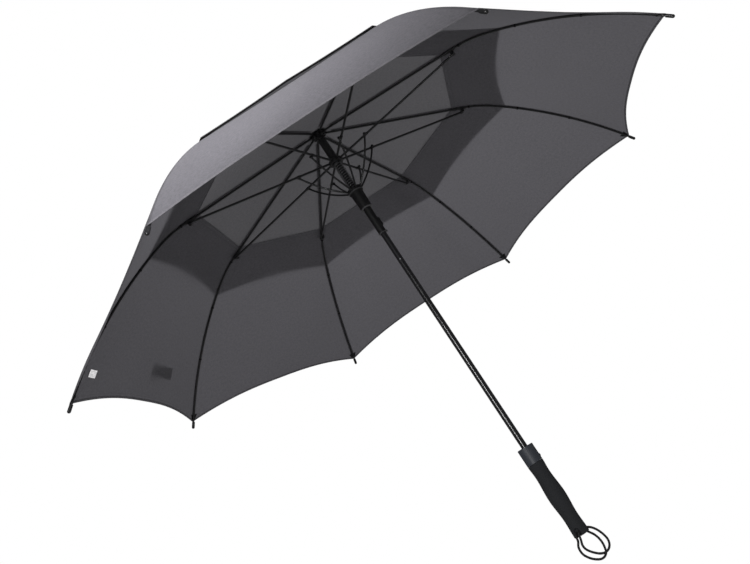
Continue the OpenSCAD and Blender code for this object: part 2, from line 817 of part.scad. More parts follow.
module lower_runner() {
    bell_r = bell_top_r - bell_taper;
    color(black_plastic)
        translate([0, 0, hinge_height])
            difference() {
                union() {
                    rotate_extrude()
                        polygon([
                            [runner_bore_r, neck_bottom_z], [neck_rim_r, neck_bottom_z],
                            [neck_rim_r, neck_bottom_z + neck_rim_h], [neck_r, neck_bottom_z + neck_rim_h + 0.6],
                            [neck_r, bell_bottom_z], [bell_r - 1, bell_bottom_z],
                            [bell_r, bell_bottom_z + 1], [bell_top_r, lower_z - flange_below - 3],
                            [lower_flange_r, lower_z - flange_below], [lower_flange_r, lower_z + flange_above - 1],
                            [lower_flange_r - 1, lower_z + flange_above], [cup_r, lower_z + flange_above],
                            [cup_r, bell_bottom_z + bell_floor_t], [runner_bore_r, bell_bottom_z + bell_floor_t]
                        ]);
                    neck_catch();
                }
                translate([0, 0, neck_bottom_z - 1])
                    cylinder(r = runner_bore_r, h = neck_length);
                translate([0, 0, lower_z])
                    eye_slots(lower_ring_radius, -1 - eye_r, flange_above + 1);
                translate([0, 0, lower_z])
                    ring_wire(lower_ring_radius, fit_gap);
            }
}

// Swelling and lug on one side of the neck, held by the catch in the collar when closed
module neck_catch() {
    rotate([0, 0, catch_azimuth]) {
        translate([neck_r - 1.2, 0, neck_bottom_z + swell_rise]) {
            cylinder(r = swell_r, h = swell_length);
            sphere(r = swell_r);
            translate([0, 0, swell_length])
                sphere(r = swell_r);
        }
        translate([neck_r - 1.5, -lug_w / 2, neck_bottom_z])
            cube([lug_r - neck_r + 1.5, lug_w, lug_h]);
    }
}

module lower_ring() {
    color(bright_metal)
        translate([0, 0, hinge_height + lower_z])
            ring_wire(lower_ring_radius);
}

// Ribs, cloths, stretchers and links

module rib(k) {
    rod_start = notch_r - notch_ring_radius + rib_rod_inset;
    color(black_metal)
        at_rib(k) {
            in_rib_plane(hinge_point, inner_angle)
                hinge_eye(rod_start + blade_lap, rib_blade_h);
            in_rib_plane(rib_at(rod_start, 0), inner_angle)
                rotate([0, 90, 0])
                    cylinder(d = rib_d, h = inner_length - rod_start);
            bent_bar(bend_centre, rib_bend_radius, inner_angle, bend_angle_end, rib_d - rib_taper);
            bent_bar(outer_centre, outer_radius, bend_angle_end, rim_angle, rib_d - 2 * rib_taper);
            in_rib_plane(rim_point, rim_angle)
                translate([-rib_lap, 0, 0])
                    rotate([0, 90, 0])
                        cylinder(d = rib_end_d, h = rib_lap + tip_length / 2);
        }
    color(black_plastic)
        at_rib(k) {
            rib_socket();
            rib_tip();
        }
}

// Socket clipped on the straight stretch from below, with the ear that the stretcher turns on
module rib_socket() {
    ear_w = 2 * pivot_eye_r;
    ear_t = socket_d - 1.2;
    clip_open = 0.7;
    difference() {
        in_rib_plane(rib_at(inner_length - socket_length, 0), inner_angle)
            rotate([0, 90, 0])
                cylinder(d = socket_d, h = socket_length - fit_gap);
        in_rib_plane(hinge_point, inner_angle)
            rotate([0, 90, 0])
                cylinder(r = rib_d / 2 + fit_gap, h = 2 * inner_length);
        in_rib_plane(hinge_point, inner_angle)
            translate([0, -socket_d, rib_d / 2 - clip_open])
                cube([2 * inner_length, 2 * socket_d, socket_d]);
    }
    difference() {
        union() {
            in_rib_plane(rib_at(pivot_s, -pivot_drop), inner_angle)
                rotate([90, 0, 0])
                    cylinder(r = pivot_eye_r, h = ear_t, center = true);
            in_rib_plane(rib_at(pivot_s, -pivot_drop), inner_angle)
                translate([-ear_w / 2, -ear_t / 2, 0])
                    cube([ear_w, ear_t, pivot_drop]);
        }
        in_rib_plane(hinge_point, inner_angle)
            rotate([0, 90, 0])
                cylinder(r = rib_d / 2 + fit_gap, h = 2 * inner_length);
    }
}

// Cap with a round nose, sleeved over the rod's end beyond the cloth's corner
module rib_tip() {
    nose_r = tip_d / 2;
    in_rib_plane(rim_point, rim_angle)
        rotate([0, 90, 0])
            difference() {
                union() {
                    translate([0, 0, body_gap])
                        cylinder(d = tip_d, h = tip_length - nose_r - body_gap);
                    translate([0, 0, tip_length - nose_r])
                        sphere(r = nose_r);
                }
                cylinder(r = rib_end_d / 2 + fit_gap, h = tip_length / 2 + fit_gap);
            }
}

module lower_cloth(k) {
    n_v = 8;
    color(grey_cloth)
        at_rib(k)
            sheet(
                lower_points(n_v, lower_cloth_rise),
                lower_points(n_v, lower_cloth_rise + cloth_t),
                lower_rows,
                n_v
            );
}

module vent_cloth(k) {
    n_v = 8;
    color(grey_vent_cloth)
        at_rib(k)
            sheet(
                vent_points(n_v, vent_cloth_rise),
                vent_points(n_v, vent_cloth_rise + cloth_t),
                vent_rows,
                n_v
            );
}

module stretcher(k) {
    rod_start = upper_flange_r - upper_ring_radius + stretcher_rod_inset;
    color(black_metal)
        at_rib(k) {
            translate(upper_hinge)
                rotate([0, -asin(stretcher_dir.z), 0])
                    hinge_eye(rod_start + blade_lap, stretcher_blade_h);
            pointing(upper_hinge, stretcher_dir)
                translate([rod_start, 0, 0])
                    rotate([0, 90, 0])
                        cylinder(d = stretcher_d, h = stretcher_length - rod_start);
            pointing(upper_hinge + (link_reach - clip_length / 2) * stretcher_dir, stretcher_dir)
                rotate([0, 90, 0])
                    cylinder(r = clip_r, h = clip_length);
            translate([pivot_point.x, pivot_side, pivot_point.y])
                rotate([90, 0, 0]) {
                    cylinder(r = pivot_eye_r, h = stretcher_d, center = true);
                    translate([0, 0, -stretcher_d / 2 - pin_head_h])
                        cylinder(r = pivot_pin_r, h = pin_head_h);
                }
        }
}

module link(k) {
    blade_length = lower_flange_r - lower_ring_radius + blade_lap;
    turn = atan2(link_line.y, link_line.x);
    slope = asin(link_line.z / link_length);
    color(black_metal)
        at_rib(k) {
            translate(link_hinge)
                rotate([0, link_half_angle - slope, 0])
                    hinge_eye(blade_length, link_blade_h);
            translate(link_hinge)
                rotate([0, -slope, turn])
                    link_bar(blade_length - blade_lap / 2);
            translate([link_point.x, link_side, link_point.z])
                rotate([90, 0, 0]) {
                    cylinder(r = link_eye_r, h = link_eye_t, center = true);
                    translate([0, 0, link_eye_t / 2])
                        cylinder(r = link_pin_r, h = pin_head_h);
                }
        }
}

// Bowed bar along X from the link's hinge to its outer eye, bowed away from the shaft
module link_bar(start) {
    skip = start / link_arc_r * 180 / PI;
    translate([link_length / 2, 0, link_arc_r - link_bow])
        rotate([90, 0, 0])
            rotate([0, 0, -90 - link_half_angle + skip])
                rotate_extrude(angle = 2 * link_half_angle - skip)
                    translate([link_arc_r, 0])
                        circle(d = link_d);
}

// Strap and tag, each a flat patch laid on a cloth
function patch_points(s, angle, length, width, rise, n_u, n_v) = [
    for (i = [0:n_u], j = [0:n_v])
        let (across_angle = length / rib_at(s, 0).x * 180 / PI,
             v = (angle + across_angle * (j / n_v - 0.5)) / half_step)
        panel_point(s + width * (i / n_u - 0.5), v, rise)
];

module closing_strap() {
    rise = lower_cloth_rise + cloth_t + body_gap;
    color(grey_cloth)
        at_rib(strap_rib)
            sheet(
                patch_points(strap_s, strap_angle, strap_length, strap_width, rise, 4, 6),
                patch_points(strap_s, strap_angle, strap_length, strap_width, rise + 2 * patch_t, 4, 6),
                4,
                6
            );
}

module sewn_tag() {
    rise = lower_cloth_rise - body_gap;
    color(white_tag)
        at_rib(tag_rib)
            sheet(
                patch_points(tag_s, tag_angle, tag_width, tag_length, rise - patch_t, 2, 2),
                patch_points(tag_s, tag_angle, tag_width, tag_length, rise, 2, 2),
                2,
                2
            );
}

// Drawing

shaft_tube();
shaft_pin();
ferrule();
top_notch();
notch_ring();
handle_body();
foam_grip();
end_plug();
wrist_cord_a();
wrist_cord_b();
push_button();
catch_lever();
button_leaf();
upper_runner();
upper_ring();
opening_spring();
lower_runner();
lower_ring();
closing_strap();
sewn_tag();
for (k = [1:rib_count]) {
    rib(k);
    lower_cloth(k);
    vent_cloth(k);
    stretcher(k);
    link(k);
}
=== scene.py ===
"""Looks of an open golf umbrella: double vented canopy, ribs, runners, foam grip and wrist cord.

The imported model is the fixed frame. The canopy, its trim, the grip, the cord and the coil are made
here as meshes; every other node keeps its shape and takes a procedural material. Sizes are in metres,
and the cord's routes in millimetres.
"""

from __future__ import annotations

import json
import logging
import math
from dataclasses import dataclass
from enum import Enum
from typing import Any, Callable

import bpy
import numpy as np
from bpy.types import Material, Node, NodeSocket, Object, World
from mathutils import Matrix, Vector

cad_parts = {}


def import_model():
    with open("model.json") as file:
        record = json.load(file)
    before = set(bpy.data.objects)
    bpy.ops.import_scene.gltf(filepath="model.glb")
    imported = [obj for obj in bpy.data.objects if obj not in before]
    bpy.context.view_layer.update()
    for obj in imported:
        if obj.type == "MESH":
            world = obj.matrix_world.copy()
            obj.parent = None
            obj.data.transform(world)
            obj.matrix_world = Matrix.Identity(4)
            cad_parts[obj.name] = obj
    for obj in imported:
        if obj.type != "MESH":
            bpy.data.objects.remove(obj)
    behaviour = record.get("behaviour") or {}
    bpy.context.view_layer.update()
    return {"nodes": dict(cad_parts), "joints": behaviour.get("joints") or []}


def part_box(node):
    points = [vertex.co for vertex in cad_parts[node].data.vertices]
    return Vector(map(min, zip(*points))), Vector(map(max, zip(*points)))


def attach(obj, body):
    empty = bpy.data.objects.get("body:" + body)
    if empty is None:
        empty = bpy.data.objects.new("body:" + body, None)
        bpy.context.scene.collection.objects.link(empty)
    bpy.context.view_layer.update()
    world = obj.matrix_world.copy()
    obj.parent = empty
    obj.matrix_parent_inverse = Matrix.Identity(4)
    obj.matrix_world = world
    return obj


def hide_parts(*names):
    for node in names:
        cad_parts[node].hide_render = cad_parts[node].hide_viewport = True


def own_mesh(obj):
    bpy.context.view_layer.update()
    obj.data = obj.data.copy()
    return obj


LOG = logging.getLogger("umbrella")
RIBS = 8
HALF_GORE = math.pi / RIBS
FAR_FROM_HEM = 0.1
WHITE = (1.0, 1.0, 1.0)
Pair = tuple[float, float]
Triple = tuple[float, float, float]
Faces = list[tuple[int, ...]]
Items = dict[Any, Any] | None
Array = np.ndarray
HemLine = Callable[[Array], Array | float]
ClothRise = Callable[[Array, Array], Array]


class Blend(Enum):
    """How a colour is laid over another one."""

    MIX = "MIX"
    MULTIPLY = "MULTIPLY"


class Lamp(Enum):
    """The kinds of light on the stage."""

    AREA = "AREA"
    SPOT = "SPOT"


class Slot(Enum):
    """The names of the record's material slots."""

    CANOPY = "canopy_cloth"
    VENT = "vent_cloth"
    STRAP = "strap_cloth"
    TAG = "tag_cloth"
    FOAM = "foam"
    CORD = "cord"
    SPRING = "spring_black"


def binary(operation: str, reflected: bool = False) -> Callable[[Val, Val | float], Val]:
    """Makes one operator of Val.

    Args:
        operation: the Math node's operation.
        reflected: whether the other value stands first.

    Returns:
        The operator's method.
    """

    def apply(self: Val, other: Val | float) -> Val:
        """Returns the operation's result."""
        return self.graph.math(operation, *((other, self) if reflected else (self, other)))

    return apply


@dataclass(frozen=True, eq=False)
class Val:
    """A value in a shader graph that sums, products and the like can be written with."""

    graph: Graph
    socket: NodeSocket

    __add__, __radd__ = binary("ADD"), binary("ADD", True)
    __sub__, __rsub__ = binary("SUBTRACT"), binary("SUBTRACT", True)
    __mul__, __rmul__ = binary("MULTIPLY"), binary("MULTIPLY", True)
    __truediv__, __rtruediv__ = binary("DIVIDE"), binary("DIVIDE", True)
    __pow__, __rpow__ = binary("POWER"), binary("POWER", True)
    __mod__, __rmod__ = binary("FLOORED_MODULO"), binary("FLOORED_MODULO", True)
    __lt__, __gt__ = binary("LESS_THAN"), binary("GREATER_THAN")

    def __abs__(self) -> Val:
        """Returns the size of self without its sign."""
        return self.graph.math("ABSOLUTE", self)

    def sin(self) -> Val:
        """Returns the sine of self, in radians."""
        return self.graph.math("SINE", self)

    def clamped(self) -> Val:
        """Returns self held between 0 and 1."""
        return self.graph.value("ShaderNodeClamp", None, {0: self})


@dataclass
class Graph:
    """The node graph of a material or of the world, built by short calls."""

    owner: Material | World

    def __post_init__(self) -> None:
        """Empties the owner's graph."""
        self.owner.use_nodes = True
        self.tree = self.owner.node_tree
        self.tree.nodes.clear()

    @classmethod
    def material(cls, name: str) -> Graph:
        """Returns the graph of a new material."""
        return cls(bpy.data.materials.new(name))

    def node(self, kind: str, settings: Items = None, inputs: Items = None) -> Node:
        """Adds one node: its settings first, then its inputs.

        Args:
            kind: the node's type.
            settings: attributes to set on the node.
            inputs: socket name or number to a Val, a node, a number, three numbers or a colour.

        Returns:
            The node.
        """
        made = self.tree.nodes.new(kind)
        for key, value in (settings or {}).items():
            setattr(made, key, value)
        for key, value in (inputs or {}).items():
            socket = made.inputs[key]
            if isinstance(value, Node):
                value = Val(self, value.outputs[0])
            if isinstance(value, Val):
                self.tree.links.new(value.socket, socket)
            else:
                socket.default_value = (*value, 1.0) if socket.type == "RGBA" else value
        return made

    def value(self, kind: str, settings: Items = None, inputs: Items = None, output: int | str = 0) -> Val:
        """Returns one output of a new node, by its number or name."""
        return Val(self, self.node(kind, settings, inputs).outputs[output])

    def math(self, operation: str, *values: Val | float) -> Val:
        """Returns the result of a Math node on one value or two."""
        return self.value("ShaderNodeMath", {"operation": operation}, dict(enumerate(values)))

    def mix(self, factor: Val | float, a: Val | Triple, b: Val | Triple, blend: Blend = Blend.MIX) -> Val:
        """Returns colour b laid over colour a, as much as the factor says."""
        settings = {"data_type": "RGBA", "blend_type": blend.value}
        return self.value("ShaderNodeMix", settings, {0: factor, 6: a, 7: b}, 2)

    def mix_shader(self, factor: Val | float, a: Node, b: Node) -> Node:
        """Returns shader b laid over shader a by a factor."""
        return self.node("ShaderNodeMixShader", None, {0: factor, 1: a, 2: b})

    def scaled(self, vector: Val, by: Triple) -> Val:
        """Returns a vector times another one, part by part."""
        return self.value("ShaderNodeVectorMath", {"operation": "MULTIPLY"}, {0: vector, 1: by})

    def parts(self, vector: Val) -> tuple[Val, ...]:
        """Returns the three parts of a vector."""
        made = self.node("ShaderNodeSeparateXYZ", None, {0: vector})
        return tuple(Val(self, part) for part in made.outputs)

    def uv(self, name: str) -> Val:
        """Returns the coordinate of a UV map."""
        return self.value("ShaderNodeUVMap", {"uv_map": name})

    def place(self) -> Val:
        """Returns the place on the object, in metres."""
        return self.value("ShaderNodeTexCoord", output="Object")

    def noise(self, vector: Val, scale: float, detail: float = 3.0, rough: float = 0.55) -> Val:
        """Returns a noise of about 0 to 1, read at a vector."""
        inputs = {"Vector": vector, "Scale": scale, "Detail": detail, "Roughness": rough}
        return self.value("ShaderNodeTexNoise", None, inputs)

    def bump(self, height: Val, strength: float, distance: float) -> Val:
        """Returns the normal of a height of 0 to 1, where 1 is a distance in metres."""
        inputs = {"Strength": strength, "Distance": distance, "Height": height}
        return self.value("ShaderNodeBump", None, inputs)

    def principled(self, inputs: dict[str, Any]) -> Node:
        """Returns the main shader with its inputs."""
        return self.node("ShaderNodeBsdfPrincipled", None, inputs)

    def done(self, shader: Node) -> Material | World:
        """Links the shader to the output and returns the material or the world."""
        self.node(f"ShaderNodeOutput{type(self.owner).__name__}", None, {"Surface": shader})
        return self.owner


@dataclass(frozen=True)
class ClothFinish:
    """Woven canopy cloth: weave, mottling, seams and stitches, and light let through."""

    name: str
    colour: Triple = (0.058, 0.056, 0.0625)
    glow: Triple = (0.0755, 0.0740, 0.0805)
    through: float = 0.35
    pitch: float = 0.0006
    stitch: float = 0.0028
    stitch_share: float = 0.62
    seam_off: float = 0.0032
    seam_half: float = 0.0005
    hem_off: float = 0.0095
    hem_half: float = 0.0006
    thread: Triple = (0.035, 0.034, 0.037)

    def material(self) -> Material:
        """Builds the material.

        Returns:
            The material.
        """
        g = Graph.material(self.name)
        laid = g.uv("cloth")
        u, v, _ = g.parts(laid)
        edge, _, _ = g.parts(g.uv("edge"))
        turn = math.tau / self.pitch
        weave = (u * turn).sin() * (v * turn).sin()
        slub = g.noise(g.scaled(laid, (900.0, 40.0, 1.0)), 1.0)
        mottle = g.noise(g.place(), 9.0, 4.0)
        run = self.stitch * self.stitch_share
        seam = ((v % self.stitch) < run) * (abs(abs(u) - self.seam_off) < self.seam_half)
        hem = ((u % self.stitch) < run) * (abs(edge - self.hem_off) < self.hem_half)
        sewn = (seam + hem).clamped()
        grain = g.noise(laid, 420.0, 2.0)
        fleck = g.noise(laid, 170.0, 2.0)
        tone = weave * 0.05 + slub * 0.08 + mottle * 0.20 + grain + fleck * 0.80 - 0.02
        tint = g.value("ShaderNodeCombineColor", None, {0: tone, 1: tone, 2: tone})
        cloth = g.mix(1.0, self.colour, tint, Blend.MULTIPLY)
        normal = g.bump(0.5 + weave * 0.25 + slub * 0.3 - sewn * 0.4, 0.18, 0.0004)
        face = g.principled({
            "Base Color": g.mix(sewn * 0.8, cloth, self.thread),
            "Roughness": 0.78 + mottle * 0.14,
            "Normal": normal,
            "Specular IOR Level": 0.25,
        })
        lit = g.node("ShaderNodeBsdfTranslucent", None, {"Color": self.glow, "Normal": normal})
        return g.done(g.mix_shader(self.through, face, lit))


@dataclass(frozen=True)
class FoamFinish:
    """Closed-cell foam: fine cells, a dull skin and faint handling marks."""

    name: str
    colour: Triple = (0.0105, 0.0115, 0.0135)
    worn: Triple = (0.015, 0.016, 0.018)
    pit: Triple = (0.004, 0.004, 0.0045)
    cell: float = 900.0

    def material(self) -> Material:
        """Builds the material.

        Returns:
            The material.
        """
        g = Graph.material(self.name)
        place = g.place()
        cells = g.value("ShaderNodeTexVoronoi", None, {"Vector": place, "Scale": self.cell})
        wear = g.noise(place, 38.0, 5.0, 0.6)
        skin = g.mix((wear * 1.4 - 0.35).clamped() * 0.55, self.colour, self.worn)
        return g.done(g.principled({
            "Base Color": g.mix(cells * 0.35, skin, self.pit),
            "Roughness": 0.74 + wear * 0.2,
            "Normal": g.bump(cells * 0.6 + wear * 0.4, 0.45, 0.0005),
            "Specular IOR Level": 0.3,
        }))


@dataclass(frozen=True)
class PlasticFinish:
    """Moulded plastic: fine texture, a soft gloss, faint scuffs and pale bands painted as highlights."""

    name: str
    colour: Triple = (0.006, 0.006, 0.0065)
    # The worn colour tints the scuffs, and it is also the colour of the painted highlight bands.
    worn: Triple = (0.16, 0.16, 0.17)
    rough: float = 0.34
    grain: float = 1400.0
    relief: float = 0.12
    coat: float = 0.15
    # Heights of pale bands painted as highlights on rounded edges, and their half width.
    edges: tuple[float, ...] = ()
    edge_half: float = 0.0008

    def material(self) -> Material:
        """Builds the material.

        Returns:
            The material.
        """
        g = Graph.material(self.name)
        place = g.place()
        grain = g.noise(place, self.grain, 2.0)
        cloud = g.noise(place, 60.0, 4.0)
        scuff = (g.noise(place, 240.0, 5.0, 0.7) * 6.0 - 3.7).clamped()
        colour = g.mix(cloud * 0.3, self.colour, tuple(1.8 * c for c in self.colour))
        colour = g.mix(scuff * 0.10, colour, self.worn)
        # Painted highlights: pale bands at given heights, where rounded edges would catch light.
        for edge in self.edges:
            near = abs(g.parts(place)[2] - edge) < self.edge_half
            colour = g.mix(near * (0.12 + cloud * 0.25), colour, self.worn)
        return g.done(g.principled({
            "Base Color": colour,
            "Roughness": self.rough + cloud * 0.14 + grain * 0.05 + scuff * 0.1,
            "Normal": g.bump(grain, self.relief, 0.0002),
            "Coat Weight": cloud * self.coat if self.coat else 0.0,
            "Coat Roughness": 0.3,
        }))


@dataclass(frozen=True)
class PaintFinish:
    """Painted or drawn metal: lengthwise marks, a thin gloss coat and small chips."""

    name: str
    colour: Triple = (0.004, 0.004, 0.0046)
    worn: Triple = (0.22, 0.22, 0.23)
    rough: float = 0.22
    metal: float = 0.0
    stretch: Triple = (700.0, 700.0, 14.0)
    coat: float = 0.5

    def material(self) -> Material:
        """Builds the material.

        Returns:
            The material.
        """
        g = Graph.material(self.name)
        place = g.place()
        drawn = g.noise(g.scaled(place, self.stretch), 1.0)
        cloud = g.noise(place, 25.0, 4.0)
        chip = (g.noise(place, 520.0) * 9.0 - 6.2).clamped() * cloud
        colour = g.mix(drawn * 0.4, self.colour, tuple(1.7 * c for c in self.colour))
        return g.done(g.principled({
            "Base Color": g.mix(chip * 0.25, colour, self.worn),
            "Metallic": self.metal + chip * (1.0 - self.metal) * 0.3 if self.metal < 1.0 else 1.0,
            "Roughness": self.rough + cloud * 0.10 + drawn * 0.08,
            "Normal": g.bump(drawn, 0.03, 0.0002),
            "Coat Weight": (1.0 - chip) * self.coat if self.coat else 0.0,
            "Coat Roughness": 0.08,
        }))


@dataclass(frozen=True)
class CordFinish:
    """Braided cord: two sets of strands that cross, with fuzz between them."""

    name: str
    colour: Triple = (0.006, 0.006, 0.0065)
    crest: Triple = (0.015, 0.015, 0.017)
    fuzzy: Triple = (0.005, 0.005, 0.006)
    strands: float = 8.0
    pitch: float = 0.004

    def material(self) -> Material:
        """Builds the material.

        Returns:
            The material.
        """
        g = Graph.material(self.name)
        around, along, _ = g.parts(g.uv("cord"))
        phase = around * (math.tau * self.strands)
        run = along * (math.tau / self.pitch)
        braid = abs((phase + run).sin()) * abs((phase - run).sin())
        fuzz = g.noise(g.place(), 1800.0, 2.0)
        return g.done(g.principled({
            "Base Color": g.mix(fuzz * 0.3, g.mix(braid * 0.6, self.colour, self.crest), self.fuzzy),
            "Roughness": 0.6 + fuzz * 0.25,
            "Normal": g.bump(braid * 0.8 + fuzz * 0.2, 0.7, 0.0005),
        }))


class Finishes:
    """Every finish of the umbrella."""

    canopy = ClothFinish("canopy_cloth")
    vent = ClothFinish("vent_cloth", colour=(0.055, 0.0535, 0.058), glow=(0.047, 0.0462, 0.0490))
    trim = ClothFinish("canopy_trim", colour=(0.062, 0.060, 0.066), through=0.2)
    # On the vent's binding this black is also painted shade, for the gap under the vent's hem.
    binding = ClothFinish(
        "black_binding", colour=(0.005, 0.005, 0.0055), glow=(0.005, 0.005, 0.005), through=0.02
    )
    strap = ClothFinish("strap_cloth", colour=(0.050, 0.048, 0.053), through=0.05, pitch=0.0011)
    tag = ClothFinish(
        "tag_cloth", colour=(0.98, 0.965, 0.98), glow=(0.9, 0.9, 0.9), through=0.15,
        thread=(0.66, 0.66, 0.66),
    )
    foam = FoamFinish("foam_black")
    cord = CordFinish("cord_black")
    plastic = PlasticFinish("black_plastic")
    # The runner's pale bands at its crown ring, bell bottom and neck rim are painted highlights.
    runner = PlasticFinish(
        "runner_plastic", colour=(0.0025, 0.0025, 0.0028), rough=0.42, coat=0.0,
        edges=(0.7222, 0.6786, 0.6128),
    )
    collar = PlasticFinish(
        "collar_plastic", colour=(0.0175, 0.0205, 0.027), rough=0.42, relief=0.005, coat=0.0
    )
    button = PlasticFinish("button_plastic", colour=(0.018, 0.018, 0.020), rough=0.42)
    shaft = PaintFinish("shaft_black")
    rib = PaintFinish(
        "rib_black", colour=(0.005, 0.005, 0.0055), rough=0.30, stretch=(300.0,) * 3, coat=0.25
    )
    spring = PaintFinish(
        "spring_black", colour=(0.12, 0.12, 0.124), metal=0.85, stretch=(400.0,) * 3
    )
    wire = PaintFinish("dark_wire", colour=(0.03, 0.03, 0.032), rough=0.32, metal=0.6, coat=0.0)
    steel = PaintFinish("bright_steel", colour=(0.42, 0.42, 0.44), rough=0.2, metal=1.0, coat=0.0)


def mesh_object(name: str, points: Array, faces: Faces, material: Material) -> Object:
    """Makes a smooth mesh object in the scene.

    Args:
        name: its name.
        points: its points, in metres.
        faces: its faces, as point numbers.
        material: its material.

    Returns:
        The object.
    """
    mesh = bpy.data.meshes.new(name)
    mesh.from_pydata(points.reshape(-1, 3).tolist(), [], faces, shade_flat=False)
    mesh.materials.append(material)
    made = bpy.data.objects.new(name, mesh)
    bpy.context.scene.collection.objects.link(made)
    LOG.info("%s: %d points, %d faces", name, len(mesh.vertices), len(faces))
    return made


def lay_uv(obj: Object, **maps: tuple[Any, Any]) -> None:
    """Gives a mesh UV maps from two numbers for each point.

    Args:
        obj: the mesh object.
        maps: the points' first numbers and their second ones, by the map's name.
    """
    picks = np.zeros(len(obj.data.loops), dtype=np.int32)
    obj.data.loops.foreach_get("vertex_index", picks)
    for name, parts in maps.items():
        pairs = np.stack(np.broadcast_arrays(*parts), axis=-1).reshape(-1, 2)
        layer = obj.data.uv_layers.new(name=name)
        layer.data.foreach_set("uv", pairs[picks].astype(np.float32).ravel())


def circle(count: int) -> Array:
    """Returns a count of angles, evenly round a circle."""
    return np.linspace(0, math.tau, count, endpoint=False)


def around_axis(radius: Array | float, angle: Array, height: Array | float) -> Array:
    """Returns points by their distance from the axis, their angle and their height."""
    parts = np.broadcast_arrays(radius * np.cos(angle), radius * np.sin(angle), height)
    return np.stack(parts, axis=-1)


def grid_faces(
    rows: int, cols: int, start: int = 0, flip: bool = False, joined: tuple[bool, bool] = (False, False)
) -> Faces:
    """Faces of a grid of points.

    Args:
        rows: number of points down.
        cols: number of points across.
        start: the first point's number.
        flip: whether the faces look the other way.
        joined: whether the last row joins the first, and the last column the first.

    Returns:
        The faces.
    """
    faces = []
    for i in range(rows if joined[0] else rows - 1):
        for j in range(cols if joined[1] else cols - 1):
            a, b, k = start + i * cols, start + (i + 1) % rows * cols, (j + 1) % cols
            quad = (a + j, a + k, b + k, b + j)
            faces.append(quad[::-1] if flip else quad)
    return faces


@dataclass
class RibLine:
    """The line of a rib: a straight stretch, a short bend and a long arc, as in the CAD source."""

    hinge_z: float
    hinge_r: float = 0.012
    joint: Pair = (0.345, -0.075)
    rim: Pair = (0.665, -0.314)
    bend_radius: float = 0.240
    bend: float = math.radians(16.0)

    def __post_init__(self) -> None:
        """Works out the bend, the arc and the lengths."""
        joint, self.hinge = np.array(self.joint), np.array((self.hinge_r, 0.0))
        self.slope = math.atan2(-joint[1], joint[0] - self.hinge_r)
        self.inner = float(np.linalg.norm(joint - self.hinge))
        self.bend_centre = joint - self.bend_radius * self.across(self.slope)
        self.slope_end = self.slope + self.bend
        self.arc_s = self.inner + self.bend_radius * self.bend
        start = self.bend_centre + self.bend_radius * self.across(self.slope_end)
        chord = np.array(self.rim) - start
        turn = math.atan2(-chord[1], chord[0]) - self.slope_end
        self.arc_radius = float(np.linalg.norm(chord)) / (2 * math.sin(turn))
        self.arc_centre = start - self.arc_radius * self.across(self.slope_end)
        self.length = self.arc_s + self.arc_radius * 2 * turn

    @staticmethod
    def across(angle: float | Array) -> Array:
        """Returns the direction square to a slope, as distance from the axis and height."""
        return np.stack([np.sin(angle), np.cos(angle)], axis=-1)

    @staticmethod
    def along(angle: float | Array) -> Array:
        """Returns the direction down a slope, as distance from the axis and height."""
        return np.stack([np.cos(angle), -np.sin(angle)], axis=-1)

    def at(self, s: Array | float, rise: Array | float) -> Array:
        """Points over the rib's line.

        Args:
            s: lengths along the rib from its hinge.
            rise: distances square to the rib.

        Returns:
            Distance from the axis and height over the hinges, one row for each length.
        """
        s, rise = np.broadcast_arrays(np.asarray(s, float), np.asarray(rise, float))
        run, up = s[..., None], rise[..., None]
        straight = self.hinge + run * self.along(self.slope) + up * self.across(self.slope)
        bend_at = self.slope + (s - self.inner) / self.bend_radius
        bent = self.bend_centre + (self.bend_radius + up) * self.across(bend_at)
        arc_at = self.slope_end + (s - self.arc_s) / self.arc_radius
        arc = self.arc_centre + (self.arc_radius + up) * self.across(arc_at)
        return np.where(run >= self.arc_s, arc, np.where(run >= self.inner, bent, straight))

    def reach(self, radius: float) -> float:
        """Returns the length along the rib at which it is a distance from the axis."""
        lengths = np.linspace(0.0, self.length, 4001)
        return float(np.interp(radius, self.at(lengths, 0.0)[:, 0], lengths))

    def slope_at(self, s: float) -> float:
        """Returns the slope of the rib at a length, in radians."""
        here, ahead = self.at(s, 0.0), self.at(s + 1e-4, 0.0)
        return math.atan2(here[1] - ahead[1], ahead[0] - here[0])

    def half_gore(self, s: Array) -> Array:
        """Returns half a gore's width at lengths along the rib."""
        return self.at(s, 0.0)[..., 0] * HALF_GORE

    def panel(self, s: Array, v: Array, rise: Array, rib: int) -> Array:
        """Points of a panel that runs straight from rib to rib.

        Args:
            s: lengths along the rib.
            v: places across the sector, -1 to 1.
            rise: distances over the rib's line.
            rib: the rib's number, from 0.

        Returns:
            Points in the row frame.
        """
        line = self.at(s, rise)
        turn = v * HALF_GORE
        r = line[..., 0] * math.cos(HALF_GORE) / np.cos(HALF_GORE - np.abs(turn))
        return around_axis(r, turn + rib * 2 * HALF_GORE, line[..., 1] + self.hinge_z)


@dataclass(frozen=True)
class Roll:
    """The flat roll round a hem: its middle's inset, half width, thickness, lift and points."""

    inset: float
    half: float
    thick: float = 0.0014
    lift: float = 0.0
    sides: int = 11
    columns: int = 17


